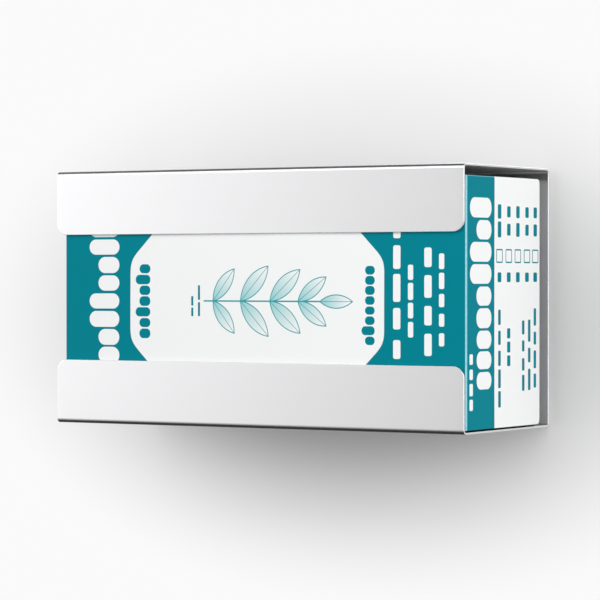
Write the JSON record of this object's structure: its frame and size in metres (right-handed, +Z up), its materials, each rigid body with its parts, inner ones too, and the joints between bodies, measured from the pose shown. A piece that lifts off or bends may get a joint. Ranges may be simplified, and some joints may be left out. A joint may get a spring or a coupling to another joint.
{
  "type": "disposable glove dispenser",
  "caption": "Wall-mounted folded stainless steel holder, open at both ends, with front lips that keep in a closed carton of disposable gloves.",
  "frame": {"origin": "middle of the holder's underside", "axes": "+X along the holder's length to the right seen from the front, +Y towards the wall, +Z up; the open front faces -Y"},
  "size_m": [0.248, 0.095, 0.135],
  "materials": {
    "holder_steel": "satin, fine grain along the length, bright folds and cut edges",
    "carton_board": "smooth coated board, plain teal and white print"
  },
  "bodies": {
    "root": {"holder": "holder_steel", "glove_carton": "carton_board"}
  },
  "joints": []
}
